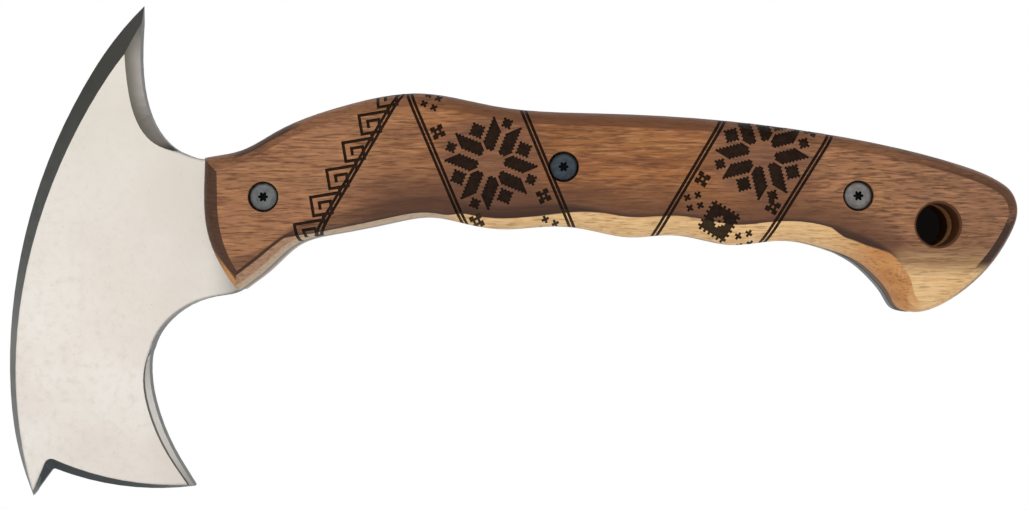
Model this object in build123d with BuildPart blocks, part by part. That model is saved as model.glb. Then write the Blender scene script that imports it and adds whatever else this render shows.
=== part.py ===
"""Full-tang hatchet: one steel plate that is both head and tang, between two wooden
scales held by three threaded sleeves with a six-lobe screw in each end.

Frame, millimetres: the origin is the centre of the lanyard hole, in the middle of the
tang's thickness. +X runs along the handle away from the head, +Z is up with the horn
uppermost, and Y is the thickness, with the front scale on the -Y side.
"""

import os

from build123d import *
from build123d.topology import SkipClean

# ---- Thicknesses, measured along Y ---------------------------------------------------
TANG_THICKNESS = 5.0
SCALE_THICKNESS = 9.5
TANG_FACE = TANG_THICKNESS / 2  # distance of the steel's faces from the mid-plane
OUTER_FACE = TANG_FACE + SCALE_THICKNESS  # and of the scales' outer faces
# The scale's cross-section: how far along from outline to face line it has come in,
# at each distance from the mid-plane.
SCALE_SECTIONS = ((0.0, TANG_FACE), (0.0, 6.5), (0.2, 9.2), (0.52, 11.1), (1.0, OUTER_FACE))

# ---- Lanyard hole and handle bolts ---------------------------------------------------
LANYARD_RADIUS = 6.0
LANYARD_RIM_CHAMFER = 0.6

BOLT_CENTRES = {"front": (-186.2, 7.7), "middle": (-103.3, 16.0), "rear": (-22.0, 8.0)}
SIDES = {"front_side": 1, "back_side": -1}  # sign of a distance from the mid-plane, to -Y
SLEEVE_RADIUS = 3.0
SLEEVE_CLEARANCE = 0.05
THREAD_RADIUS = 2.0  # M4, drawn as a plain cylinder
THREAD_CLEARANCE = 0.05
SHANK_LENGTH = 7.5
HEAD_RADIUS = 4.0
HEAD_HEIGHT = 2.2
HEAD_EDGE_HEIGHT = 1.5  # where the domed top meets the head's side
HEAD_DOME_START = 2.6  # radius of the flat middle of the head
HEAD_DOME_RISE = 0.12  # how far the dome bulges over the straight line between its ends
HEAD_SINK = 0.1  # how far the head lies below the face of the wood
COUNTERBORE_RADIUS = 4.25
COUNTERBORE_FLOOR = OUTER_FACE - HEAD_SINK - HEAD_HEIGHT
SLEEVE_HALF_LENGTH = COUNTERBORE_FLOOR - 0.2
DRIVE_CORE_RADIUS = 0.95  # six-lobe recess
DRIVE_LOBE_RADIUS = 0.38
DRIVE_LOBE_CIRCLE = 1.02
DRIVE_DEPTH = 1.4

# ---- Outline of the head, (x, z) -----------------------------------------------------
HORN_TIP = (-222.3, 62.2)
HEEL_TIP = (-253.7, -76.5)
SPUR_TIP = (-207.7, -73.7)
NECK_TOP = (-203.5, 18.8)
NECK_BOTTOM = (-194.5, -18.1)
CUTTING_EDGE = [
    HORN_TIP,
    (-232.0, 51.0),
    (-239.6, 39.1),
    (-250.7, 15.2),
    (-258.1, -12.6),
    (-260.3, -44.3),
    (-258.6, -60.2),
    HEEL_TIP,
]
HORN_BACK = [
    HORN_TIP,
    (-223.0, 49.3),
    (-222.4, 39.3),
    (-220.4, 31.3),
    (-217.3, 25.6),
    (-212.7, 21.4),
    (-208.2, 19.4),
    NECK_TOP,
]
BEARD = [
    NECK_BOTTOM,
    (-201.3, -20.0),
    (-208.2, -22.0),
    (-214.0, -25.8),
    (-219.0, -32.5),
    (-220.4, -41.0),
    (-218.4, -52.5),
    (-213.3, -64.5),
    SPUR_TIP,
]
NOTCH = (-247.9, -68.6)  # the corner that divides the heel from the bottom edge
NOTCH_RADIUS = 1.2
BOTTOM_MIDDLE = (-229.1, -73.6)

# ---- Ground bevels ---------------------------------------------------------------------
# Each bevel is a ruled surface between pairs of points: the first list lies on the
# outline, the second where the bevel meets the plate's face. Both carry on past the
# ends of the bevel. The land is the half-thickness left at the outline.
EDGE_LAND = 0.15
EDGE_OUTLINE = [(-214.5, 71.0), *CUTTING_EDGE, (-250.4, -84.5)]
EDGE_FACE = [
    (-210.5, 67.4),
    (-218.2, 58.6),
    (-227.8, 47.6),
    (-235.3, 36.6),
    (-246.8, 13.6),
    (-255.0, -13.2),
    (-257.9, -44.2),
    (-256.5, -59.8),
    (-252.7, -76.2),
    (-249.4, -84.2),
]
HORN_LAND = 1.5
HORN_OUTLINE = [(-221.2, 71.0), *HORN_BACK[:-1]]
HORN_FACE = [
    (-226.0, 71.4),
    (-226.9, 62.5),
    (-227.3, 49.3),
    (-226.3, 38.6),
    (-223.8, 29.3),
    (-219.7, 23.7),
    (-213.1, 20.9),
    (-207.9, 20.6),
]
BEARD_LAND = 1.5
BEARD_OUTLINE = [*BEARD[3:], (-204.0, -80.5)]
BEARD_FACE = [
    (-213.2, -26.6),
    (-218.6, -32.7),
    (-221.8, -41.2),
    (-220.3, -53.1),
    (-214.8, -65.2),
    (-208.7, -74.2),
    (-205.0, -81.0),
]
BOTTOM_LAND = 0.6
BOTTOM_OUTLINE = [HEEL_TIP, NOTCH, BOTTOM_MIDDLE, SPUR_TIP]
BOTTOM_FACE = [(-253.2, -75.6), (-249.0, -65.1), (-228.4, -71.8), (-207.9, -73.1)]
BOTTOM_FACE_RADIUS = 2.0
BEVEL_OVERRUN = 0.1  # share of its width by which a bevel cutter runs past each border
# From the bevel to the far side of its cutter, which must clear the rest of the outline.
EDGE_REACH = (-45.0, 0.0)
HORN_REACH = (8.0, 6.0)
BEARD_REACH = (12.0, 0.0)
BOTTOM_REACH = 12.0
BOTTOM_CUTTER_FLOOR = -90.0
HEEL_OVERRUN = 1.4  # the bottom cutter starts this many notch-to-heel lengths from the notch

# ---- Outline of the handle, and the face line inside it --------------------------------
TOP_OUTLINE = [
    NECK_TOP,
    (-193.3, 20.9),
    (-184.0, 25.9),
    (-164.1, 33.5),
    (-143.2, 36.8),
    (-122.4, 33.2),
    (-93.1, 31.2),
    (-59.7, 29.3),
    (-26.3, 24.8),
    (7.1, 16.9),
    (20.2, 10.9),
]
TOP_FACE = [
    (-199.0, 14.6),
    (-191.3, 17.3),
    (-182.4, 22.0),
    (-162.8, 29.5),
    (-143.2, 32.6),
    (-122.0, 29.1),
    (-92.9, 27.1),
    (-59.3, 25.2),
    (-25.6, 20.8),
    (5.8, 13.4),
    (16.6, 8.7),
]
BUTT_OUTLINE = [
    TOP_OUTLINE[-1],
    (23.4, 4.7),
    (21.2, -3.0),
    (15.2, -11.9),
    (7.9, -18.6),
    (0.4, -23.0),
    (-5.4, -24.3),
    (-9.7, -22.9),
    (-11.9, -19.2),
    (-15.5, -14.5),
    (-20.2, -10.4),
    (-30.1, -6.3),
]
BUTT_FACE = [
    TOP_FACE[-1],
    (19.3, 4.4),
    (17.6, -1.7),
    (12.4, -9.4),
    (5.8, -15.8),
    (-0.6, -20.2),
    (-4.4, -21.4),
    (-6.2, -19.9),
    (-7.2, -16.4),
    (-10.6, -10.4),
    (-16.0, -5.9),
    (-30.1, -0.6),
]
GRIP_OUTLINE = [
    BUTT_OUTLINE[-1],
    (-38.5, -4.4),
    (-46.9, -4.7),
    (-55.3, -5.5),
    (-63.7, -4.1),
    (-72.1, -2.7),
    (-84.7, -3.3),
    (-97.3, -1.0),
    (-107.8, -0.2),
    (-120.4, -1.0),
    (-130.9, 0.4),
    (-141.4, 2.4),
    (-151.9, 0.9),
    (-168.7, -2.4),
    (-178.5, -5.1),
    (-187.5, -12.8),
    NECK_BOTTOM,
]
GRIP_FACE = [
    BUTT_FACE[-1],
    (-38.7, 0.9),
    (-47.0, 0.7),
    (-55.5, 0.0),
    (-63.6, 1.3),
    (-72.4, 2.5),
    (-84.8, 2.1),
    (-97.1, 4.3),
    (-107.9, 5.0),
    (-120.5, 4.3),
    (-130.7, 5.6),
    (-141.5, 7.3),
    (-151.8, 5.8),
    (-167.9, 1.9),
    (-180.0, -2.6),
    (-188.0, -8.6),
    (-193.4, -12.8),
]
NOSE_OUTLINE = [NECK_BOTTOM, (-199.3, -11.0), (-203.0, -1.4), (-203.8, 8.6), NECK_TOP]
NOSE_FACE = [GRIP_FACE[-1], (-196.3, -7.3), (-198.3, -0.3), (-198.9, 8.0), TOP_FACE[0]]
# Inside the hook of the butt the tang stands a little proud of the wood.
TANG_BUTT_OUTLINE = [
    *BUTT_OUTLINE[:7],
    (-10.4, -23.3),
    (-12.9, -19.6),
    (-16.3, -15.3),
    (-20.7, -11.2),
    BUTT_OUTLINE[-1],
]


def blend(start, end, fraction):
    """The points lying this fraction of the way from each start point to its end point."""
    pairs = zip(start, end)
    return [(a + (c - a) * fraction, b + (d - b) * fraction) for (a, b), (c, d) in pairs]


def heading(start, end):
    """The direction from one point to another."""
    return (end[0] - start[0], end[1] - start[1])


def smooth_curve(points, start_heading, end_heading):
    """A spline through the points that leaves and arrives in the given directions."""
    Spline(*points, tangents=(start_heading, end_heading), tangent_scalars=(1.0, 1.0))


def handle_curve(top, butt, grip):
    """The handle's outline from the top of the neck round the butt to its underside."""
    at_butt = heading(top[-2], butt[1])
    at_hook = heading(butt[-2], grip[1])
    smooth_curve(top, heading(top[0], top[1]), at_butt)
    smooth_curve(butt, at_butt, at_hook)
    smooth_curve(grip, at_hook, heading(grip[-2], grip[-1]))


def flat_section(border, side, level):
    """The face inside a border drawn in (x, z), set at this distance from the mid-plane."""
    return Plane.XZ.offset(side * level) * Face(border.wire())


def bevel_levels(land):
    """The two fractions at which a bevel cutter is drawn, each with its distance from
    the mid-plane."""
    levels = (-BEVEL_OVERRUN, 1 + BEVEL_OVERRUN)
    return [(fraction, land + (TANG_FACE - land) * fraction) for fraction in levels]


def cut_bevel(outline, face, land, side, reach):
    """Grind one side of the plate to the ruled surface between two rows of points; the
    reach is the vector from the bevel to the far side of the cutter."""
    sections = []
    for fraction, level in bevel_levels(land):
        row = blend(outline, face, fraction)
        far_row = [(row[i][0] + reach[0], row[i][1] + reach[1]) for i in (-1, 0)]
        with BuildLine() as border:
            Spline(*row)
            Polyline(row[-1], *far_row, row[0])
        sections.append(flat_section(border, side, level))
    loft(sections, ruled=True, mode=Mode.SUBTRACT)


def cut_bottom_bevel(side):
    """Grind one side of the notch and the bottom edge."""
    sections = []
    for fraction, level in bevel_levels(BOTTOM_LAND):
        heel, notch, middle, spur = blend(BOTTOM_OUTLINE, BOTTOM_FACE, fraction)
        before_heel = blend([notch], [heel], HEEL_OVERRUN)[0]
        after_spur = (spur[0] + BOTTOM_REACH, spur[1])
        radius = NOTCH_RADIUS + (BOTTOM_FACE_RADIUS - NOTCH_RADIUS) * fraction
        with BuildLine() as border:
            Line(before_heel, notch)
            ThreePointArc(notch, middle, spur)
            Line(spur, after_spur)
            Polyline(
                after_spur,
                (after_spur[0], BOTTOM_CUTTER_FLOOR),
                (before_heel[0], BOTTOM_CUTTER_FLOOR),
                before_heel,
            )
            fillet(border.vertices().sort_by_distance(notch)[0], radius)
        sections.append(flat_section(border, side, level))
    loft(sections, ruled=True, mode=Mode.SUBTRACT)


# The blade and the scales are built without the automatic clean-up, which would merge
# the splines of an outline into one long edge and make the exact volume unreliable.

# ---- Blade and tang --------------------------------------------------------------------
with SkipClean(), BuildPart() as blade_and_tang:
    with BuildLine() as plate_outline:
        handle_curve(TOP_OUTLINE, TANG_BUTT_OUTLINE, GRIP_OUTLINE)
        smooth_curve(BEARD, heading(GRIP_OUTLINE[-2], NECK_BOTTOM), heading(BEARD[-2], SPUR_TIP))
        ThreePointArc(SPUR_TIP, BOTTOM_MIDDLE, NOTCH)
        Line(NOTCH, HEEL_TIP)
        Spline(*reversed(CUTTING_EDGE))
        smooth_curve(HORN_BACK, heading(HORN_TIP, HORN_BACK[1]), heading(NECK_TOP, TOP_OUTLINE[1]))
    extrude(flat_section(plate_outline, 1, 0), amount=TANG_FACE, both=True)
    corners = blade_and_tang.edges().filter_by(Axis.Y)
    fillet(corners.sort_by_distance((NOTCH[0], 0, NOTCH[1]))[0], NOTCH_RADIUS)
    for side in SIDES.values():
        cut_bevel(EDGE_OUTLINE, EDGE_FACE, EDGE_LAND, side, EDGE_REACH)
        cut_bevel(HORN_OUTLINE, HORN_FACE, HORN_LAND, side, HORN_REACH)
        cut_bevel(BEARD_OUTLINE, BEARD_FACE, BEARD_LAND, side, BEARD_REACH)
        cut_bottom_bevel(side)
    with BuildSketch(Plane.XZ):
        Circle(LANYARD_RADIUS)
        with Locations(*BOLT_CENTRES.values()):
            Circle(SLEEVE_RADIUS + SLEEVE_CLEARANCE)
    extrude(amount=TANG_FACE, both=True, mode=Mode.SUBTRACT)


# ---- Scales ----------------------------------------------------------------------------
def shape_scale(side):
    """One wooden scale, rounded over towards its outer face, with its counterbored bolt
    holes and the lanyard hole."""
    sections = []
    for inset, level in SCALE_SECTIONS:
        with BuildLine() as border:
            handle_curve(
                blend(TOP_OUTLINE, TOP_FACE, inset),
                blend(BUTT_OUTLINE, BUTT_FACE, inset),
                blend(GRIP_OUTLINE, GRIP_FACE, inset),
            )
            Spline(*blend(NOSE_OUTLINE, NOSE_FACE, inset))
        sections.append(flat_section(border, side, level))
    loft(sections, ruled=True)
    with BuildSketch(Plane.XZ.offset(side * TANG_FACE)) as through_holes:
        Circle(LANYARD_RADIUS)
        with Locations(*BOLT_CENTRES.values()):
            Circle(SLEEVE_RADIUS + SLEEVE_CLEARANCE)
    extrude(through_holes.sketch, amount=side * SCALE_THICKNESS, mode=Mode.SUBTRACT)
    with BuildSketch(Plane.XZ.offset(side * COUNTERBORE_FLOOR)) as counterbores:
        with Locations(*BOLT_CENTRES.values()):
            Circle(COUNTERBORE_RADIUS)
    counterbore_depth = OUTER_FACE - COUNTERBORE_FLOOR
    extrude(counterbores.sketch, amount=side * counterbore_depth, mode=Mode.SUBTRACT)


def lanyard_rim(scale):
    """The edge where the lanyard hole leaves a scale's outer face."""
    circles = scale.edges().filter_by(GeomType.CIRCLE)
    hole_edges = circles.filter_by(lambda edge: abs(edge.radius - LANYARD_RADIUS) < 0.01)
    return max(hole_edges, key=lambda edge: abs(edge.center().Y))


with SkipClean(), BuildPart() as front_scale:
    shape_scale(SIDES["front_side"])
    chamfer(lanyard_rim(front_scale), LANYARD_RIM_CHAMFER)

with SkipClean(), BuildPart() as back_scale:
    shape_scale(SIDES["back_side"])
    chamfer(lanyard_rim(back_scale), LANYARD_RIM_CHAMFER)


# ---- Handle bolts ----------------------------------------------------------------------
def build_sleeve(centre):
    """A threaded sleeve through both scales and the tang."""
    with BuildPart() as sleeve:
        with BuildSketch(Plane.XZ):
            with Locations(centre):
                Circle(SLEEVE_RADIUS)
                Circle(THREAD_RADIUS + THREAD_CLEARANCE, mode=Mode.SUBTRACT)
        extrude(amount=SLEEVE_HALF_LENGTH, both=True)
    return sleeve.part


def build_screw(centre, side):
    """A domed screw with a six-lobe recess, its head bearing on the counterbore floor."""
    seat = Plane(
        origin=(centre[0], -side * COUNTERBORE_FLOOR, centre[1]),
        x_dir=(1, 0, 0),
        z_dir=(0, -side, 0),
    )
    middle_height = (HEAD_HEIGHT + HEAD_EDGE_HEIGHT) / 2
    dome_middle = ((HEAD_DOME_START + HEAD_RADIUS) / 2, middle_height + HEAD_DOME_RISE)
    with BuildPart() as screw:
        with BuildSketch(seat.rotated((90, 0, 0))):
            with BuildLine():
                ThreePointArc(
                    (HEAD_DOME_START, HEAD_HEIGHT), dome_middle, (HEAD_RADIUS, HEAD_EDGE_HEIGHT)
                )
                Polyline(
                    (HEAD_RADIUS, HEAD_EDGE_HEIGHT),
                    (HEAD_RADIUS, 0),
                    (THREAD_RADIUS, 0),
                    (THREAD_RADIUS, -SHANK_LENGTH),
                    (0, -SHANK_LENGTH),
                    (0, HEAD_HEIGHT),
                    (HEAD_DOME_START, HEAD_HEIGHT),
                )
            make_face()
        revolve(axis=Axis(seat.origin, seat.z_dir))
        with BuildSketch(seat.offset(HEAD_HEIGHT)):
            Circle(DRIVE_CORE_RADIUS)
            with PolarLocations(DRIVE_LOBE_CIRCLE, 6):
                Circle(DRIVE_LOBE_RADIUS)
        extrude(amount=-DRIVE_DEPTH, mode=Mode.SUBTRACT)
    return screw.part


# ---- Names and files -------------------------------------------------------------------
pieces = {
    "blade_and_tang": blade_and_tang.part,
    "front_scale": front_scale.part,
    "back_scale": back_scale.part,
}
for place, centre in BOLT_CENTRES.items():
    pieces[f"sleeve_{place}"] = build_sleeve(centre)
    for side_name, side in SIDES.items():
        pieces[f"screw_{place}_{side_name}"] = build_screw(centre, side)

os.makedirs("parts", exist_ok=True)
for name, part in pieces.items():
    part.label = name
    export_step(part, f"parts/{name}.step")
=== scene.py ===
"""Full-tang hatchet, dressed for its studio picture.

The steel and the bolts keep their CAD meshes and get procedural finishes; these and the wood
carry painted reflections and painted shade. The front scale is rebuilt from its CAD surface
with the ornament engraved into it as geometry.
"""

import math

import bmesh
import bpy
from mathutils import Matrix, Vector
from mathutils.bvhtree import BVHTree
from mathutils.geometry import delaunay_2d_cdt


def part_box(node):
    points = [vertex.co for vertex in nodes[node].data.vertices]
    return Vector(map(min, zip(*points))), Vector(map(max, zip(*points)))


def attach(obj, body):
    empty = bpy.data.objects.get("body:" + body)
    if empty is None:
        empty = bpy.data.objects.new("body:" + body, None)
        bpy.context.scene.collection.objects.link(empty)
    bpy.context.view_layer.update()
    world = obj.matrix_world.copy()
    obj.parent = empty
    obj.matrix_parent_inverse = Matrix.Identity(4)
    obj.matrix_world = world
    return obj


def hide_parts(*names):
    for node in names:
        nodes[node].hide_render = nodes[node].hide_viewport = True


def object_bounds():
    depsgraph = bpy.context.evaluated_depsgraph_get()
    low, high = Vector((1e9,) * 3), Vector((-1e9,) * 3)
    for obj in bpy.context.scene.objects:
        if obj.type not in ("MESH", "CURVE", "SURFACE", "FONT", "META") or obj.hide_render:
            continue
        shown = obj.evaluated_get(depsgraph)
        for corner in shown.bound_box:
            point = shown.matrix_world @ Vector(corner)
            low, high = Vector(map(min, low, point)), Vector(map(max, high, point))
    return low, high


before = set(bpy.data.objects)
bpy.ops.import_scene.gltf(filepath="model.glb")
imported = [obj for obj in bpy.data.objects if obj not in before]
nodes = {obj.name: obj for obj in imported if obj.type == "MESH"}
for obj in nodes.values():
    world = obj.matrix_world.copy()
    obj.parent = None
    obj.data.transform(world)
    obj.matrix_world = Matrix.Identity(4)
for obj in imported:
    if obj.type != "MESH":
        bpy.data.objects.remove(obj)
cad_low, cad_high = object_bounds()

MM = 0.001  # in metres; lengths are in metres unless a comment says millimetres


def new_object(name, data):
    """An object in the scene that shows a mesh or a camera."""
    thing = bpy.data.objects.new(name, data)
    bpy.context.scene.collection.objects.link(thing)
    return thing


# ---- Ornament, in millimetres on the scale's outer face: (x, z) ------------------------
CELL = 0.7  # side of one cell of the stepped figures
BORDER_BARS = (-0.6, 0.5)  # how far each bar of a double border lies from its middle line
BORDER_BAR_WIDTH = 0.8
BORDERS = (
    ((-146.6, 37.5), (-130.3, -1.0)),
    ((-115.4, 34.0), (-100.4, -2.0)),
    ((-57.8, 31.0), (-79.2, -5.0)),
    ((-28.0, 27.0), (-48.6, -6.0)),
)
MEANDER_LINE = ((-147.3, 38.0), (-172.0, -3.6))
MEANDER_TILT = 9.5
MEANDER_START = (-147.2, 38.9)
MEANDER_STEP = (-4.45, -7.5)
MEANDER_UNITS = 6
MEANDER_WIDTH = 0.85
MEANDER_KEY = (
    (0.0, 0.0),
    (-8.2, 0.0),
    (-8.2, -5.2),
    (-3.0, -5.2),
    (-3.0, -1.9),
    (-6.1, -1.9),
    (-6.1, -3.4),
)
MEANDER_LINK = ((-5.6, -5.2), (-5.6, -7.4))
FRONT_TILT = 23.0  # each band's figures stand square to its borders: turn in degrees
REAR_TILT = -31.0
STAR_PLACES = (((-123.3, 16.9), FRONT_TILT), ((-48.6, 19.6), REAR_TILT))
BLOSSOM_PLACES = (
    ((-138.0, 25.6), FRONT_TILT),
    ((-108.8, 7.9), FRONT_TILT),
    ((-127.4, 1.0), FRONT_TILT),
    ((-65.0, 12.6), REAR_TILT),
    ((-34.6, 26.4), REAR_TILT),
    ((-45.6, 4.9), REAR_TILT),
)
SPRIG_PLACES = (
    ((-139.9, 34.2), FRONT_TILT),
    ((-107.6, -0.4), FRONT_TILT),
    ((-67.4, 6.4), REAR_TILT),
    ((-53.2, -4.2), REAR_TILT),
)
DIAMOND_PLACES = (((-60.4, 0.9), REAR_TILT),)


def turned(point, centre, degrees):
    """A point of a figure's own grid, turned and carried to the figure's centre."""
    angle = math.radians(degrees)
    x = point[0] * math.cos(angle) - point[1] * math.sin(angle)
    z = point[0] * math.sin(angle) + point[1] * math.cos(angle)
    return (centre[0] + x, centre[1] + z)


def bar(start, end, width):
    """A straight bar between two points, squared off half its width past each end."""
    along = (Vector(end) - Vector(start)).normalized() * (width / 2)
    across = Vector((-along.y, along.x))
    first = Vector(start) - along
    last = Vector(end) + along
    return [tuple(p) for p in (first - across, last - across, last + across, first + across)]


def cells(rule, reach, centre, degrees):
    """The squares of a grid that satisfy the rule, joined into one bar for each run."""
    bars = []
    for row in range(-reach, reach + 1):
        run = []
        for column in range(-reach, reach + 2):
            if column <= reach and rule(abs(column), abs(row)):
                run.append(column)
            elif run:
                left, right = (run[0] - 0.5) * CELL, (run[-1] + 0.5) * CELL
                low, high = (row - 0.5) * CELL, (row + 0.5) * CELL
                corners = ((left, low), (right, low), (right, high), (left, high))
                bars.append([turned(corner, centre, degrees) for corner in corners])
                run = []
    return bars


def star_rule(a, b):
    """An eight-petalled star with an open middle, and a diamond before each gap between
    two petals."""
    far, near = max(a, b), min(a, b)
    petal = 1 <= near <= 8 and 2 <= far - near <= 8 and far + near > 6
    side_diamond = abs(far - 14) + near <= 3
    corner_diamond = abs(a - 12) + abs(b - 12) <= 2
    return petal or side_diamond or corner_diamond


def sprig_rule(a, b):
    """A small cross of four plus signs."""
    far, near = max(a, b), min(a, b)
    return abs(far - 3) + near <= 1


def diamond_rule(a, b):
    """A dense toothed square with an open flower in its middle."""
    far, near = max(a, b), min(a, b)
    flower = far <= 2 and far + near in (1, 2)
    square = far <= 5 and not flower
    tooth = far == 6 and near % 2 == 1
    return square or tooth


def blossom_rule(a, b):
    """Four petals round an open middle."""
    return (1 <= a <= 2 and 1 <= b <= 2) or a + b == 1


def meander():
    """A key pattern that steps down beside its double border."""
    figures = []
    for unit in range(MEANDER_UNITS):
        start = [place + unit * step for place, step in zip(MEANDER_START, MEANDER_STEP)]
        for path in (MEANDER_KEY, MEANDER_LINK):
            corners = [turned(corner, start, MEANDER_TILT) for corner in path]
            figures += [bar(a, b, MEANDER_WIDTH) for a, b in zip(corners, corners[1:])]
    return figures


def border(start, end):
    """Two bars side by side."""
    along = (Vector(end) - Vector(start)).normalized()
    across = Vector((-along.y, along.x))
    shifts = [across * offset for offset in BORDER_BARS]
    return [bar(Vector(start) + s, Vector(end) + s, BORDER_BAR_WIDTH) for s in shifts]


def ornament():
    """Every engraved figure as a polygon."""
    figures = meander() + border(*MEANDER_LINE)
    for start, end in BORDERS:
        figures += border(start, end)
    # Each stepped figure: its rule, how many cells it reaches from its middle, its places.
    for rule, reach, places in (
        (star_rule, 17, STAR_PLACES),
        (sprig_rule, 4, SPRIG_PLACES),
        (diamond_rule, 6, DIAMOND_PLACES),
        (blossom_rule, 2, BLOSSOM_PLACES),
    ):
        for centre, degrees in places:
            figures += cells(rule, reach, centre, degrees)
    return figures


# ---- The engraved scale ----------------------------------------------------------------
ENGRAVING_DEPTH = 0.4 * MM
# How much of the surface's normal points out along Y, from 0 to 1:
FRONT_SIDE = 0.02  # at least this much on a triangle of the front
STEEPEST_ENGRAVED = 0.2  # more than this where the engraving shows
FLAT_FACE = 0.9999  # at least this much on the flat face
SHARP_ANGLE = math.radians(38)
SAME_POINT = 0.001 * MM  # corners of the CAD mesh this close are one
WELD_DISTANCE = 0.012 * MM  # and so are corners of the engraved mesh
LEVEL_STEP = 0.01 * MM  # heights above one point that round to the same step are one
LOWEST_WALL = 0.001 * MM
OVERLAY_TOLERANCE = 1e-4  # millimetres
WITH_HULL = 0  # asks delaunay_2d_cdt for triangles out to the convex hull


def front_faces(node):
    """The triangles of a CAD node that look towards -Y, from a welded copy of its mesh."""
    mesh = bmesh.new()
    mesh.from_mesh(node.data)
    bmesh.ops.remove_doubles(mesh, verts=mesh.verts, dist=SAME_POINT)
    bmesh.ops.triangulate(mesh, faces=mesh.faces)
    mesh.normal_update()
    front = [face for face in mesh.faces if face.normal.y < -FRONT_SIDE]
    triangles = [[vertex.co.copy() for vertex in face.verts] for face in front]
    mesh.free()
    return triangles


def overlay(triangles, figures):
    """Lay the figures over the surface: a flat triangulation in (x, z) millimetres that
    follows every edge of both, and for each of its triangles whether a figure covers it."""
    points, edges, faces = [], [], []
    for triangle in triangles:
        first = len(points)
        points += [Vector((v.x, v.z)) / MM for v in triangle]
        edges += [(first, first + 1), (first + 1, first + 2), (first + 2, first)]
    for figure in figures:
        faces.append(range(len(points), len(points) + len(figure)))
        points += [Vector(p) for p in figure]
    points, _, flat_triangles, _, _, sources = delaunay_2d_cdt(
        points, edges, [list(f) for f in faces], WITH_HULL, OVERLAY_TOLERANCE
    )
    return points, flat_triangles, [bool(s) for s in sources]


def levels_between(levels, front, back):
    """The levels from front to back, both ends included."""
    return sorted(y for y in levels if front - WELD_DISTANCE < y < back + WELD_DISTANCE)


class HeightField:
    """Builds a closed mesh from flat triangles that each stand at their own height, over
    a flat base. A height is a Y value, and heights fall from the base to the front."""

    def __init__(self, points, base):
        self.points = points
        self.base = base
        self.edges = {}  # (start, end) of a triangle's edge: its two heights and material
        self.index = {}
        self.vertices = []
        self.faces = []
        self.materials = []

    def vertex(self, point, y):
        """The number of the vertex at this height above a point, made if it is new."""
        key = (point, round(y / LEVEL_STEP))
        if key not in self.index:
            self.index[key] = len(self.vertices)
            self.vertices.append((self.points[point].x * MM, y, self.points[point].y * MM))
        return self.index[key]

    def face(self, corners, material):
        """A face through (point, height) corners, if three of them or more differ."""
        loop = []
        for point, y in corners:
            vertex = self.vertex(point, y)
            if vertex not in loop:
                loop.append(vertex)
        if len(loop) > 2:
            self.faces.append(loop)
            self.materials.append(material)

    def prism(self, corners, heights, material):
        """The front and the back of a flat triangle."""
        self.face(list(zip(corners, heights)), material)
        self.face([(i, self.base) for i in reversed(corners)], 0)
        for k in range(3):
            after = (k + 1) % 3
            self.edges[(corners[k], corners[after])] = (heights[k], heights[after], material)

    def walls(self):
        """A wall wherever two neighbours stand at different heights, and round the outside.
        Along its sides it has a corner at every height that any triangle reaches there, so
        that all the walls meet without a crack. A wall beside the engraving is burnt too."""
        levels = {}
        for (a, b), (front_a, front_b, _) in self.edges.items():
            levels.setdefault(a, {self.base}).add(front_a)
            levels.setdefault(b, {self.base}).add(front_b)
        outside = (self.base, self.base, 0)
        for (a, b), (front_a, front_b, material) in self.edges.items():
            back_b, back_a, other = self.edges.get((b, a), outside)
            if back_a + back_b - front_a - front_b > LOWEST_WALL:
                down = levels_between(levels[a], front_a, back_a)
                up = levels_between(levels[b], front_b, back_b)[::-1]
                corners = [(a, y) for y in down] + [(b, y) for y in up]
                self.face(corners, max(material, other))


def weld_and_shade(mesh):
    """Joins touching corners, and shades the rounding smooth but the flat face and the
    engraving's walls crisp."""
    edit = bmesh.new()
    edit.from_mesh(mesh)
    bmesh.ops.remove_doubles(edit, verts=edit.verts, dist=WELD_DISTANCE)
    edit.normal_update()
    for face in edit.faces:
        face.smooth = abs(face.normal.y) < FLAT_FACE
    for edge in edit.edges:
        faces = edge.link_faces
        if len(faces) != 2 or faces[0].normal.angle(faces[1].normal, 0.0) > SHARP_ANGLE:
            edge.smooth = False
    edit.to_mesh(mesh)
    edit.free()


def plane_heights(places, spot, normal):
    """The Y values, at (x, z) places, of the plane through a spot on the surface."""
    heights = []
    for place in places:
        slope = normal.x * (place.x - spot.x) + normal.z * (place.y - spot.z)
        heights.append(spot.y - slope / normal.y)
    return heights


def engraved_scale(node, figures, materials):
    """A copy of a CAD scale with the figures cut into its outer face. The materials are
    the plain one and the engraving's."""
    triangles = front_faces(node)
    surface = BVHTree.FromPolygons(
        [v for t in triangles for v in t],
        [(3 * i, 3 * i + 1, 3 * i + 2) for i in range(len(triangles))],
    )
    points, flat_triangles, covered = overlay(triangles, figures)
    low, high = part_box(node.name)
    field = HeightField(points, high.y)
    for number, corners in enumerate(flat_triangles):
        a, b, c = (points[i] for i in corners)
        if (b - a).cross(c - a) < 0:
            corners = corners[::-1]
        middle = (a + b + c) / 3 * MM
        before = Vector((middle.x, 2 * low.y, middle.y))
        spot, normal, _, _ = surface.ray_cast(before, Vector((0, 1, 0)))
        if spot is None:
            continue
        engrave = covered[number] and -normal.y > STEEPEST_ENGRAVED
        material, depth = (1, ENGRAVING_DEPTH) if engrave else (0, 0.0)
        heights = plane_heights([points[i] * MM for i in corners], spot, normal)
        field.prism(corners, [height + depth for height in heights], material)
    field.walls()
    mesh = bpy.data.meshes.new("engraved_front_scale")
    mesh.from_pydata(field.vertices, [], field.faces)
    for material in materials:
        mesh.materials.append(material)
    mesh.polygons.foreach_set("material_index", field.materials)
    weld_and_shade(mesh)
    return new_object("engraved_front_scale", mesh)


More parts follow.
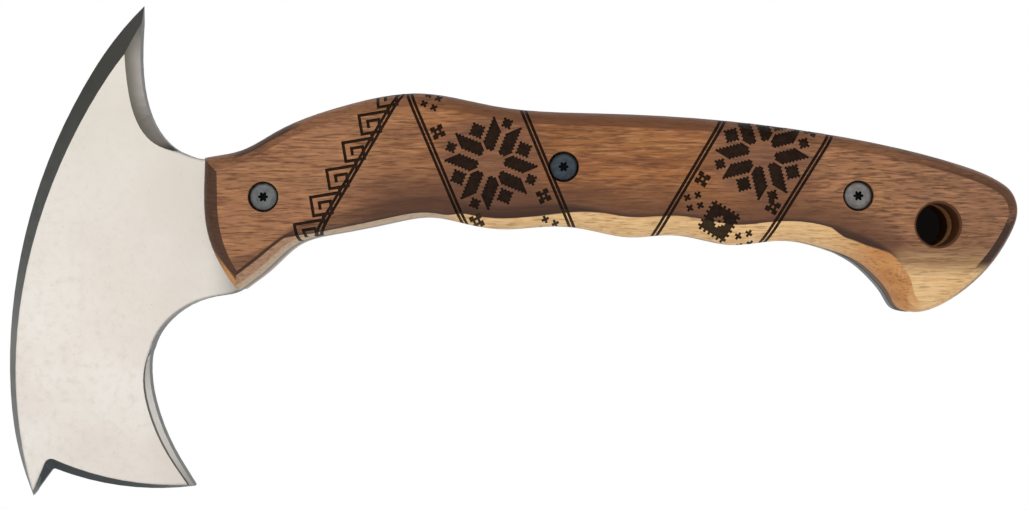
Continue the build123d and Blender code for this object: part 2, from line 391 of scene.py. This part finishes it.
# ---- Node graphs -----------------------------------------------------------------------
class Graph:
    """Adds nodes to a tree. An input is a plain value or another node's output."""

    def __init__(self, tree):
        self.tree = tree
        tree.nodes.clear()

    def add(self, kind, inputs=None, **properties):
        node = self.tree.nodes.new("ShaderNode" + kind)
        for name, value in properties.items():
            setattr(node, name, value)
        for key, value in (inputs or {}).items():
            if isinstance(value, bpy.types.NodeSocket):
                self.tree.links.new(value, node.inputs[key])
            else:
                node.inputs[key].default_value = value
        return node

    def math(self, operation, *values):
        return self.add("Math", dict(enumerate(values)), operation=operation).outputs[0]

    def noise(self, vector, scale, detail=2.0, roughness=0.5):
        inputs = {"Vector": vector, "Scale": scale, "Detail": detail, "Roughness": roughness}
        return self.add("TexNoise", inputs).outputs["Fac"]

    def stretch(self, vector, factors):
        """The vector times the factors; a texture grows longer where the factor is small."""
        inputs = {0: vector, 1: factors}
        return self.add("VectorMath", inputs, operation="MULTIPLY").outputs[0]

    def ramp(self, value, low, high, start=0.0, end=1.0):
        """A smooth step from start to end while the value goes from low to high."""
        inputs = {0: value, 1: low, 2: high, 3: start, 4: end}
        return self.add("MapRange", inputs, interpolation_type="SMOOTHSTEP").outputs[0]

    def curve(self, value, points):
        """A smooth curve through (value, result) points, level beyond its two ends."""
        spans = [(min(axis), max(axis)) for axis in zip(*points)]
        share = self.add("MapRange", {0: value, 1: spans[0][0], 2: spans[0][1]}).outputs[0]
        node = self.add("FloatCurve", {1: share})
        curve = node.mapping.curves[0]
        for _ in points[2:]:  # a new curve has two points already
            curve.points.new(0.5, 0.5)
        for spot, point in zip(curve.points, points):
            spot.location = [(p - low) / (high - low) for p, (low, high) in zip(point, spans)]
        node.mapping.update()
        return self.add("MapRange", {0: node.outputs[0], 3: spans[1][0], 4: spans[1][1]}).outputs[0]

    def mix(self, factor, first, second):
        return self.add("Mix", {0: factor, 6: first, 7: second}, data_type="RGBA").outputs[2]

    def layer(self, base, coat, *masks):
        """The coat over the base wherever all the masks are one."""
        factor = masks[0]
        for mask in masks[1:]:
            factor = self.math("MULTIPLY", factor, mask)
        return self.mix(factor, base, coat)

    def bump(self, height, distance, strength):
        inputs = {"Height": height, "Distance": distance, "Strength": strength}
        return self.add("Bump", inputs).outputs[0]


def rgb(red, green, blue):
    """A linear colour from the 0 to 255 values seen on a screen."""

    def linear(value):
        value /= 255
        return value / 12.92 if value < 0.04045 else ((value + 0.055) / 1.055) ** 2.4

    return (linear(red), linear(green), linear(blue), 1.0)


def new_material(name):
    """An empty material and the graph of its nodes."""
    material = bpy.data.materials.new(name)
    material.use_nodes = True
    return material, Graph(material.node_tree)


def finish_surface(graph, inputs):
    """Connects a principled surface to the material's output."""
    surface = graph.add("BsdfPrincipled", inputs)
    graph.add("OutputMaterial", {"Surface": surface.outputs[0]})


# ---- What the materials look at ----------------------------------------------------------
class Surroundings:
    """Where a surface point is, in metres in the shared frame, and which way it faces."""

    def __init__(self, graph):
        self.graph = graph
        self.place = graph.add("TexCoord").outputs["Object"]
        axes = graph.add("SeparateXYZ", {0: self.place})
        self.x, y, self.z = (axes.outputs[name] for name in "XYZ")
        self.depth = graph.math("ABSOLUTE", y)
        normal = graph.add("SeparateXYZ", {0: graph.add("NewGeometry").outputs["True Normal"]})
        self.towards_x, towards_y, self.towards_z = (normal.outputs[name] for name in "XYZ")
        self.outward = graph.math("ABSOLUTE", towards_y)

    def along(self, start, end, first=0.0, last=1.0):
        """A smooth step from first to last while X goes from start to end millimetres."""
        return self.graph.ramp(self.x, start * MM, end * MM, first, last)

    def up(self, start, end, first=0.0, last=1.0):
        """The same along Z."""
        return self.graph.ramp(self.z, start * MM, end * MM, first, last)

    def out(self, start, end, first=0.0, last=1.0):
        """The same away from the mid-plane of the tang, towards either side."""
        return self.graph.ramp(self.depth, start * MM, end * MM, first, last)


def close_to_edge(graph, radius):
    """One right at a sharp edge, nought further away than the radius. It compares the true
    normal with the one that a rounded edge would have."""
    rounded = graph.add("Bevel", {"Radius": radius}, samples=6).outputs[0]
    true_normal = graph.add("NewGeometry").outputs["True Normal"]
    agreement = graph.add("VectorMath", {0: rounded, 1: true_normal}, operation="DOT_PRODUCT")
    return graph.ramp(agreement.outputs["Value"], 0.8, 0.97, 1.0, 0.0)


def near_axis(graph, place, centre, inner, outer):
    """One within the inner radius of an axis along Y, nought beyond the outer one."""
    axis = (centre[0], 0.0, centre[1])
    offset = graph.add("VectorMath", {0: place, 1: axis}, operation="SUBTRACT").outputs[0]
    flat_offset = graph.stretch(offset, (1.0, 0.0, 1.0))
    radius = graph.add("VectorMath", {0: flat_offset}, operation="LENGTH").outputs["Value"]
    return graph.ramp(radius, inner, outer, 1.0, 0.0)


LANYARD_RIM = (6.5 * MM, 6.65 * MM)  # radii between which the rim's chamfer ends


def lanyard_hole(graph, place):
    """One on the wall of the lanyard hole and its chamfered rim, nought outside."""
    return near_axis(graph, place, (0.0, 0.0), *LANYARD_RIM)


# ---- Steel -----------------------------------------------------------------------------
EDGE_SHADE_WIDTH = 1.6 * MM
SCREW_RECESS_RADII = (1.5 * MM, 1.6 * MM)
SCREW_TOP_RADII = (3.75 * MM, 3.97 * MM)
# Spans of the distance from the middle of the tang, in millimetres.
BEVEL_DEPTHS = (1.5, 2.5)  # from the rim of the horn and the beard up to the flat
SCREW_RECESS_DEPTHS = (11.5, 11.85)  # from the floor of the recess up to the screw's top


def bevels_with_painted_light(graph, at):
    """The ground bevels, coloured with painted reflections and painted shade: dark along the
    cutting edge, which pales towards the heel; paler on the horn and the beard, which darken
    towards the plate's face; the bottom bevel is painted dark and the plate's own rim mid grey."""
    # painted reflection: the cutting edge's bevel is dark high up and paler towards the heel
    lower = at.up(-28, 50, 1.0, 0.0)
    edge_bevel = graph.mix(lower, rgb(90, 89, 84), rgb(160, 163, 158))
    heel = at.up(-44, -28, 1.0, 0.0)
    edge_bevel = graph.mix(heel, edge_bevel, rgb(130, 133, 129))
    # painted reflection: the horn's and the beard's bevels are paler at the rim, darker towards the
    # flat
    across = at.out(*BEVEL_DEPTHS)
    pale = graph.mix(across, rgb(158, 152, 145), rgb(108, 104, 95))
    # painted shade where these bevels face up, and at the top of the horn
    upward = graph.ramp(at.towards_z, 0.02, 0.12)
    pale = graph.layer(pale, rgb(92, 88, 81), upward, 0.7)
    pale = graph.layer(pale, rgb(78, 77, 72), at.up(45, 58), 0.8)
    # painted reflection: a bright band on the beard's bevel below the neck
    bright = graph.mix(graph.ramp(across, 0.75, 0.9), rgb(204, 200, 193), rgb(98, 96, 92))
    below_neck = at.up(-32, -24, 1.0, 0.0)
    pale = graph.mix(below_neck, pale, bright)
    # bevels that face the nose take the cutting edge's painted reflection, the others the paler one
    colour = graph.mix(graph.ramp(at.towards_x, 0.0, 0.06), edge_bevel, pale)
    # painted shade on the bevels that face down
    downward = graph.ramp(at.towards_z, -0.3, -0.18, 1.0, 0.0)
    colour = graph.layer(colour, rgb(74, 78, 80), downward)
    # painted reflection: the plate's rim, which faces sideways, is mid grey
    rim = graph.ramp(at.outward, 0.3, 0.6, 1.0, 0.0)
    return graph.layer(colour, rgb(120, 122, 120), rim)


def flat_steel_and_painted_shade(graph, at, mottle, pits):
    """The plate's flat: pale, with painted shade that greys it towards the horn, greyer towards
    the handle too, and with fine pits.
    """
    clouds = graph.noise(at.place, 38.0, 3.0, 0.5)
    colour = graph.mix(graph.ramp(clouds, 0.3, 0.7), rgb(234, 224, 215), rgb(241, 236, 228))
    # painted shade: the flat greys towards the horn
    towards_horn = at.up(-45, 40)
    colour = graph.layer(colour, rgb(212, 206, 195), towards_horn, 0.7)
    towards_handle = at.along(-228, -205)
    colour = graph.layer(colour, rgb(206, 197, 186), towards_handle, 0.35)
    colour = graph.layer(colour, rgb(222, 214, 202), graph.ramp(mottle, 0.45, 0.75), 0.6)
    return graph.layer(colour, rgb(150, 143, 134), pits, 0.25)


def blade_steel():
    """Smooth pale flats and ground bevels with painted reflections and shade, a line of painted
    shade along the flat's edge, and painted shade on the tang inside the handle. The tang's strip
    in the wall of the lanyard hole is as warm as the wood beside it, a painted reflection of that
    wood."""
    material, graph = new_material("blade_steel_and_painted_light")
    at = Surroundings(graph)
    mottle = graph.noise(at.place, 420.0, 4.0, 0.6)
    pits = graph.ramp(graph.noise(at.place, 1100.0, 3.0, 0.6), 0.64, 0.75)
    grind = graph.noise(graph.stretch(at.place, (1.0, 1.0, 0.06)), 2500.0, 2.0, 0.6)
    bevels = graph.layer(bevels_with_painted_light(graph, at), rgb(80, 80, 78), grind, 0.15)
    flat = graph.ramp(at.outward, 0.985, 0.999)
    colour = graph.mix(flat, bevels, flat_steel_and_painted_shade(graph, at, mottle, pits))
    # painted shade: a dark line on the flat along its sharp edges
    edge = close_to_edge(graph, EDGE_SHADE_WIDTH)
    colour = graph.layer(colour, rgb(66, 66, 63), edge, flat, 0.9)
    # painted shade on the tang's rim where it runs between the scales
    tang_shade = at.along(-205, -190)
    colour = graph.layer(colour, rgb(78, 84, 86), tang_shade, 0.75)
    # painted reflection: the tang's strip in the lanyard hole takes the warm colour of the wood it
    # reflects, and is not metallic there
    hole = lanyard_hole(graph, at.place)
    colour = graph.layer(colour, rgb(235, 185, 130), hole)
    swell = graph.math("MULTIPLY", mottle, 0.5)
    height = graph.math("SUBTRACT", swell, graph.math("MULTIPLY", pits, 0.8))
    finish_surface(
        graph,
        {
            "Base Color": colour,
            "Metallic": graph.math("SUBTRACT", 1.0, hole),
            "Roughness": graph.ramp(mottle, 0.3, 0.7, 0.38, 0.44),
            "Normal": graph.bump(height, 0.04 * MM, 0.5),
        },
    )
    return material


def turned_steel(name, darker, paler, centre=None):
    """Steel with turning marks. A screw, whose centre is given, gets painted shade: black in
    its recess and down its side."""
    material, graph = new_material(name)
    at = Surroundings(graph)
    patches = graph.noise(at.place, 700.0, 3.0, 0.6)
    marks = graph.noise(graph.stretch(at.place, (1.0, 0.2, 1.0)), 3000.0, 2.0, 0.5)
    colour = graph.mix(graph.ramp(patches, 0.35, 0.65), darker, paler)
    if centre:
        # painted shade in the screw's recess
        recess = near_axis(graph, at.place, centre, *SCREW_RECESS_RADII)
        sunk = at.out(*SCREW_RECESS_DEPTHS, 1.0, 0.0)
        colour = graph.layer(colour, rgb(16, 16, 18), recess, sunk)
        # painted shade down the screw's side, in its counterbore
        top = near_axis(graph, at.place, centre, *SCREW_TOP_RADII)
        colour = graph.mix(top, rgb(30, 30, 32), colour)
    finish_surface(
        graph,
        {
            "Base Color": colour,
            "Metallic": 1.0,
            "Roughness": graph.ramp(patches, 0.3, 0.7, 0.34, 0.46),
            "Normal": graph.bump(marks, 0.03 * MM, 0.5),
        },
    )
    return material


# ---- Wood ------------------------------------------------------------------------------
FACE_DEPTH = 12 * MM  # from the middle of the tang to the scales' flat faces
FACE_LINE_SAMPLES = 24
HOOK_END = -4 * MM  # where the flat face's lower border turns up behind the hook
# Spans of X, in millimetres, in which one look gives way to the next.
NOSE_END = (-180, -175)
UNDER_NOSE_END = (-181, -172)
GRIP_END = (-16, -8)
# How far out from the mid-plane the sapwood reaches along the underside: at the nose and
# behind it, and then each rise along the handle as (from x, to x, rise) in millimetres.
SAPWOOD_AT_NOSE = (11.6 * MM, 9.3 * MM)
SAPWOOD_RISES = ((-137, -130, 1.8), (-112, -88, 0.95), (-31, -25, -0.62), (-21, -9, 0.75))


def lower_face_line(node):
    """The lower border of a scale's flat face, as (x, z) points from nose to hook."""
    flat = [t for t in front_faces(node) if max(v.y for v in t) < -FACE_DEPTH + 0.01 * MM]
    first = min(v.x for t in flat for v in t)
    step = (HOOK_END - first) / FACE_LINE_SAMPLES
    line = []
    for number in range(FACE_LINE_SAMPLES):
        x = first + (number + 0.5) * step
        heights = []
        for triangle in flat:
            for a, b in zip(triangle, triangle[1:] + triangle[:1]):
                if (a.x - x) * (b.x - x) < 0:
                    heights.append(a.z + (b.z - a.z) * (x - a.x) / (b.x - a.x))
        line.append((x, min(heights)))
    return line


class Grain:
    """Straight grain along X, from a slow change of tone down to fibres and pores. All of
    it follows a slow waver."""

    def __init__(self, graph, place):
        self.waver = graph.noise(graph.stretch(place, (0.35, 1.0, 1.0)), 30.0, 2.0, 0.5)
        lift = graph.add("CombineXYZ", {2: graph.math("MULTIPLY", self.waver, 3 * MM)}).outputs[0]
        path = graph.add("VectorMath", {0: place, 1: lift}, operation="ADD").outputs[0]
        self.tone = graph.noise(graph.stretch(path, (0.35, 1.0, 1.0)), 75.0, 2.0, 0.5)
        self.broad = graph.noise(graph.stretch(path, (0.09, 0.6, 1.0)), 240.0, 3.0, 0.6)
        self.fibres = graph.noise(graph.stretch(path, (0.08, 0.5, 1.0)), 1900.0, 3.0, 0.65)
        self.light = graph.noise(graph.stretch(path, (0.1, 0.6, 1.0)), 1500.0, 2.0, 0.6)
        dashes = graph.noise(graph.stretch(path, (0.12, 0.6, 1.0)), 2300.0, 1.0, 0.5)
        self.pores = graph.ramp(dashes, 0.54, 0.72)


def on_flat_face(graph, at):
    """One on the scale's flat outer face, nought on the rounding beside it."""
    return graph.ramp(at.depth, FACE_DEPTH - 0.12 * MM, FACE_DEPTH - 0.02 * MM)


def heartwood(graph, at, grain):
    """Golden brown and streaky, greyer at both ends and smoky round the two stars."""
    colour = graph.mix(graph.ramp(grain.broad, 0.3, 0.7), rgb(134, 80, 40), rgb(172, 112, 60))
    colour = graph.layer(colour, rgb(164, 94, 54), graph.ramp(grain.tone, 0.45, 0.7), 0.45)
    towards_nose = at.along(-170, -120, 1.0, 0.0)
    colour = graph.layer(colour, rgb(172, 124, 90), towards_nose, 0.6)
    before_butt = at.along(-45, -30)
    colour = graph.layer(colour, rgb(182, 134, 98), before_butt, 0.45)
    towards_butt = at.along(-18, 2)
    colour = graph.layer(colour, rgb(134, 94, 70), towards_butt, 0.65)
    open_grain = at.along(-45, -32, 0.0, 0.6)
    colour = graph.layer(colour, rgb(84, 50, 32), grain.pores, open_grain)
    colour = graph.layer(colour, rgb(100, 60, 34), graph.ramp(grain.fibres, 0.46, 0.64), 0.75)
    colour = graph.layer(colour, rgb(206, 150, 100), graph.ramp(grain.light, 0.5, 0.68), 0.4)
    for centre, _ in STAR_PLACES:
        middle = (centre[0] * MM, centre[1] * MM)
        smoke = near_axis(graph, at.place, middle, 10 * MM, 19 * MM)
        colour = graph.layer(colour, rgb(118, 80, 60), smoke, 0.6)
    return colour


def shaded_border(graph, at, grain, face_line, heart):
    """Painted shade on the heartwood: darker towards the lower border of the flat face, wavering
    with the grain. Along the grip the last millimetre above the border is a dark streak of painted
    shade."""
    above_line = graph.math("SUBTRACT", at.z, graph.curve(at.x, face_line))
    wavering = graph.math("SUBTRACT", above_line, graph.math("MULTIPLY", grain.waver, 4 * MM))
    low = graph.ramp(wavering, -1 * MM, 11 * MM, 1.0, 0.0)
    behind_nose = at.along(-172, -150)
    colour = graph.layer(heart, rgb(98, 60, 38), low, behind_nose, 0.85)
    streak = graph.ramp(above_line, 0.2 * MM, 1.3 * MM, 1.0, 0.0)
    strength = at.along(-137, -110, 0.45, 0.85)
    on_grip = at.along(*GRIP_END, 1.0, 0.0)
    flat = on_flat_face(graph, at)
    return graph.layer(colour, rgb(66, 40, 27), streak, strength, on_grip, flat)


def shaded_rounding(graph, at, heart):
    """Painted shade on the heartwood's rounding at the top, the butt and the nose."""
    rounding = graph.math("SUBTRACT", 1.0, on_flat_face(graph, at))
    upward = graph.ramp(at.towards_z, 0.02, 0.1)
    strength = graph.math(
        "SUBTRACT",
        at.along(-165, -100, 0.4, 0.85),
        at.along(-70, -35, 0.0, 0.3),
    )
    colour = graph.layer(heart, rgb(112, 70, 44), upward, rounding, strength)
    beside_line = at.out(11.1, 11.8)
    to_butt = at.along(-15, 10)
    colour = graph.layer(colour, rgb(78, 46, 30), upward, rounding, beside_line, to_butt, 0.7)
    rightward = graph.ramp(at.towards_x, 0.1, 0.3)
    colour = graph.layer(colour, rgb(96, 66, 50), rightward, rounding, 0.65)
    return graph.layer(colour, rgb(64, 38, 25), nose(graph, at), 0.9)


def nose(graph, at):
    """One on the rounded end that stands on the blade."""
    forward = graph.ramp(at.towards_x, -0.3, -0.15, 1.0, 0.0)
    return graph.math("MULTIPLY", forward, at.along(*NOSE_END, 1.0, 0.0))


def sapwood_depth(graph, at, grain):
    """How far out from the mid-plane the sapwood reaches along the underside."""
    depth = at.along(*UNDER_NOSE_END, *SAPWOOD_AT_NOSE)
    for start, end, rise in SAPWOOD_RISES:
        depth = graph.math("ADD", depth, at.along(start, end, 0.0, rise * MM))
    wave = graph.math("MULTIPLY", graph.math("SUBTRACT", grain.waver, 0.5), 0.4 * MM)
    return graph.math("ADD", depth, wave)


def cream_wood(graph, grain):
    streaks = graph.ramp(grain.fibres, 0.35, 0.65)
    return graph.mix(streaks, rgb(238, 198, 144), rgb(216, 170, 114))


def orange_wood(graph, grain):
    streaks = graph.ramp(grain.broad, 0.3, 0.7)
    return graph.mix(streaks, rgb(206, 146, 86), rgb(190, 126, 72))


def underside_tone(graph, at, grain):
    """The sapwood's tone from nose to butt: two-tone on the nose's underside, then dull,
    cream along the grip, orange in the hook and cream again."""
    dull = rgb(196, 168, 138)
    streaks = graph.ramp(grain.fibres, 0.35, 0.65)
    brown = graph.mix(streaks, rgb(184, 142, 112), rgb(158, 118, 90))
    tone = graph.mix(at.out(8.6, 9.8), dull, brown)
    for span, next_tone in (
        (UNDER_NOSE_END, dull),
        ((-138, -131), cream_wood(graph, grain)),
        ((-34, -14), orange_wood(graph, grain)),
        ((-9, -3), cream_wood(graph, grain)),
    ):
        tone = graph.mix(at.along(*span), tone, next_tone)
    return tone


def pale_underside(graph, at, grain, heart):
    """The sapwood on the underside and inside the hook, below a line of painted shade."""
    facing_down = graph.ramp(at.towards_z, -0.2, -0.08, 1.0, 0.0)
    facing_nose = graph.ramp(at.towards_x, -0.1, -0.04, 1.0, 0.0)
    inside_hook = graph.math("MULTIPLY", facing_nose, at.along(-24, -18))
    behind_nose = graph.math("SUBTRACT", 1.0, nose(graph, at))
    under = graph.math("MULTIPLY", graph.math("MAXIMUM", facing_down, inside_hook), behind_nose)
    below_line = graph.math("SUBTRACT", sapwood_depth(graph, at, grain), at.depth)
    # painted shade on the rounding above the sapwood, darkest next to it
    shade = graph.ramp(below_line, -1.2 * MM, -0.1 * MM, 0.45, 0.95)
    colour = graph.layer(heart, rgb(56, 32, 20), under, shade)
    border = graph.ramp(below_line, -0.08 * MM, 0.08 * MM)
    before_butt = graph.math("MAXIMUM", at.along(-6, -2, 1.0, 0.0), at.up(-14, -10, 1.0, 0.0))
    return graph.layer(colour, underside_tone(graph, at, grain), under, border, before_butt)


def pale_butt(graph, at, grain, wood):
    """The sapwood on the lower part of the butt, with a browner rim."""
    height = graph.math("SUBTRACT", at.z, graph.math("MULTIPLY", grain.broad, 8 * MM))
    lower = graph.ramp(height, -19 * MM, -9.5 * MM, 1.0, 0.0)
    flat = graph.ramp(at.outward, 0.95, 0.99)
    colour = graph.layer(wood, cream_wood(graph, grain), lower, flat, at.along(-14, -10))
    return graph.layer(colour, rgb(150, 112, 92), at.out(9.2, 10.5, 1.0, 0.0), at.along(2, 8), 0.8)


def pale_nose(graph, at, grain, wood):
    """The sliver of sapwood at the bottom of the nose, beside the blade."""
    low = at.up(-14, -5, 1.0, 0.0)
    lifted = graph.math("SUBTRACT", at.depth, graph.math("MULTIPLY", low, 2 * MM))
    sliver = graph.ramp(lifted, 8.8 * MM, 9.4 * MM, 1.0, 0.0)
    return graph.layer(wood, orange_wood(graph, grain), nose(graph, at), low, sliver)


def walnut(name, face_line, engraved=False):
    """Oiled walnut, burnt dark where it is engraved, with painted shade inside the lanyard hole
    and on its rim.
    """
    material, graph = new_material(name)
    at = Surroundings(graph)
    grain = Grain(graph, at.place)
    colour = heartwood(graph, at, grain)
    colour = shaded_border(graph, at, grain, face_line, colour)
    colour = shaded_rounding(graph, at, colour)
    colour = pale_underside(graph, at, grain, colour)
    colour = pale_butt(graph, at, grain, colour)
    colour = pale_nose(graph, at, grain, colour)
    colour = graph.layer(colour, rgb(84, 50, 32), grain.pores, 0.4)
    # painted shade inside the lanyard hole and on its chamfered rim
    colour = graph.layer(colour, rgb(96, 58, 32), lanyard_hole(graph, at.place))
    if engraved:
        soot = graph.noise(at.place, 900.0, 3.0, 0.6)
        burnt = graph.mix(graph.ramp(soot, 0.35, 0.65), rgb(16, 7, 2), rgb(34, 20, 11))
        colour = graph.layer(colour, burnt, 0.96)
    relief = graph.math("SUBTRACT", graph.math("MULTIPLY", grain.fibres, 0.5), grain.pores)
    finish_surface(
        graph,
        {
            "Base Color": colour,
            "Roughness": graph.ramp(grain.fibres, 0.3, 0.7, 0.48, 0.62),
            "Specular IOR Level": 0.08 if engraved else 0.3,
            "Normal": graph.bump(relief, 0.08 * MM, 0.5),
        },
    )
    return material


# ---- Dress the frame -------------------------------------------------------------------
def paint(node, *materials):
    """Puts the materials in a mesh object's slots."""
    node.data.materials.clear()
    for material in materials:
        node.data.materials.append(material)


SCREW_COLOURS = {
    "front": (rgb(92, 94, 95), rgb(112, 113, 112)),
    "middle": (rgb(54, 61, 68), rgb(68, 75, 81)),
    "rear": (rgb(104, 101, 100), rgb(124, 121, 119)),
}


def dress_scales():
    """Walnut on both scales. An engraved copy stands for the front one."""
    face_line = lower_face_line(nodes["front_scale"])
    wood = walnut("walnut_and_painted_shade", face_line)
    burnt_wood = walnut("engraved_walnut_and_painted_shade", face_line, engraved=True)
    front_scale = engraved_scale(nodes["front_scale"], ornament(), (wood, burnt_wood))
    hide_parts("front_scale")
    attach(front_scale, "root")
    paint(nodes["back_scale"], wood)


def dress_bolts():
    """Bare sleeves, and blued screws in a tone of their own for each bolt."""
    sleeve_finish = turned_steel("sleeve_finish", rgb(140, 140, 138), rgb(170, 168, 164))
    for place, colours in SCREW_COLOURS.items():
        low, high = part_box(f"sleeve_{place}")
        centre = ((low.x + high.x) / 2, (low.z + high.z) / 2)
        screw_finish = turned_steel(f"blued_screw_{place}_finish", *colours, centre)
        paint(nodes[f"sleeve_{place}"], sleeve_finish)
        for side in ("front_side", "back_side"):
            paint(nodes[f"screw_{place}_{side}"], screw_finish)


# ---- Studio ----------------------------------------------------------------------------
WHITE = (1.0, 1.0, 1.0, 1.0)
SQUARE_ON = (math.radians(90), 0.0, 0.0)  # turns a camera or a card to the hatchet's side
FLOOR_SIZE = 6.0
FLOOR_GLOW = 0.8  # the floor's brightness as the hatchet sees it


def studio_floor():
    """A plain white floor that lights the hatchet softly from below."""
    mesh = bpy.data.meshes.new("studio_floor")
    half = FLOOR_SIZE / 2
    corners = ((-half, -half), (half, -half), (half, half), (-half, half))
    mesh.from_pydata([(x, y, cad_low.z) for x, y in corners], [], [(0, 1, 2, 3)])
    floor = new_object("studio_floor", mesh)
    material, graph = new_material("studio_floor_finish")
    camera_ray = graph.add("LightPath").outputs["Is Camera Ray"]
    glow = graph.math("MAXIMUM", camera_ray, FLOOR_GLOW)
    floor_light = graph.add("Emission", {"Color": WHITE, "Strength": glow}).outputs[0]
    graph.add("OutputMaterial", {"Surface": floor_light})
    paint(floor, material)


CARD_RADIUS = 7.2 * MM
CARD_GAP = 0.2 * MM


def painted_shade_card():
    """A dark disc of painted shade behind the lanyard hole, glowing faintly, clear when seen
    from its back.
    """
    mesh = bpy.data.meshes.new("painted_shade_card")
    edit = bmesh.new()
    bmesh.ops.create_circle(edit, cap_ends=True, segments=48, radius=CARD_RADIUS)
    edit.to_mesh(mesh)
    edit.free()
    card = new_object("painted_shade_card", mesh)
    card.location = (0.0, cad_high.y + CARD_GAP, 0.0)
    card.rotation_euler = SQUARE_ON
    material, graph = new_material("painted_shade_card_material")
    from_behind = graph.add("NewGeometry").outputs["Backfacing"]
    clear = graph.add("BsdfTransparent").outputs[0]
    # painted shade: the faint dark glow seen through the lanyard hole
    dark = graph.add("Emission", {"Color": rgb(15, 13, 11), "Strength": 1.0}).outputs[0]
    card_surface = graph.add("MixShader", {0: from_behind, 1: dark, 2: clear}).outputs[0]
    graph.add("OutputMaterial", {"Surface": card_surface})
    paint(card, material)


# Each softbox: direction from the object, brightness, and the angles in degrees where
# its full light ends and where it has faded out.
SOFTBOXES = (
    ((-0.16, -1.0, -0.06), 1.1, 42.0, 66.0),
    ((0.7, -0.7, 0.1), 0.35, 20.0, 50.0),
    ((0.0, -0.2, 1.0), 0.25, 25.0, 70.0),
    ((-0.2, 1.0, 0.3), 0.8, 25.0, 70.0),
)
AMBIENT = 0.1


def studio_light():
    """Softboxes painted on the surrounding sphere; the camera itself sees plain white."""
    world = bpy.data.worlds.new("studio")
    world.use_nodes = True
    bpy.context.scene.world = world
    graph = Graph(world.node_tree)
    ray = graph.add("TexCoord").outputs["Generated"]
    total = AMBIENT
    for direction, brightness, inner, outer in SOFTBOXES:
        axis = tuple(Vector(direction).normalized())
        facing = graph.add("VectorMath", {0: ray, 1: axis}, operation="DOT_PRODUCT")
        edges = (math.cos(math.radians(outer)), math.cos(math.radians(inner)))
        glow = graph.ramp(facing.outputs["Value"], *edges, 0.0, brightness)
        total = graph.math("ADD", glow, total)
    camera_ray = graph.add("LightPath").outputs["Is Camera Ray"]
    light = graph.add("Background", {"Color": WHITE, "Strength": total}).outputs[0]
    white = graph.add("Background", {"Color": WHITE, "Strength": 1.0}).outputs[0]
    seen = graph.add("MixShader", {0: camera_ray, 1: light, 2: white}).outputs[0]
    graph.add("OutputWorld", {"Surface": seen})


CAMERA_DISTANCE = 0.430  # from the middle of the tang
CAMERA_FROM_CENTRE = (0.0186, -0.0012)  # in x and z, from the centre of the CAD box
LENS = 53.09  # millimetres, as is the sensor
SENSOR_WIDTH = 36.0
SHIFT_X = -0.0603
NEAREST_SEEN = 10 * MM


def studio_camera():
    """The photograph's camera: square on to the side of the hatchet, close to it."""
    data = bpy.data.cameras.new("studio_camera")
    data.lens = LENS
    data.sensor_width = SENSOR_WIDTH
    data.shift_x = SHIFT_X
    data.clip_start = NEAREST_SEEN
    camera = new_object("studio_camera", data)
    centre = (cad_low + cad_high) / 2
    camera.location = (
        centre.x + CAMERA_FROM_CENTRE[0],
        -CAMERA_DISTANCE,
        centre.z + CAMERA_FROM_CENTRE[1],
    )
    camera.rotation_euler = SQUARE_ON
    bpy.context.scene.camera = camera


dress_scales()
paint(nodes["blade_and_tang"], blade_steel())
dress_bolts()
studio_floor()
painted_shade_card()
studio_light()
studio_camera()
bpy.context.scene.view_settings.view_transform = "Standard"
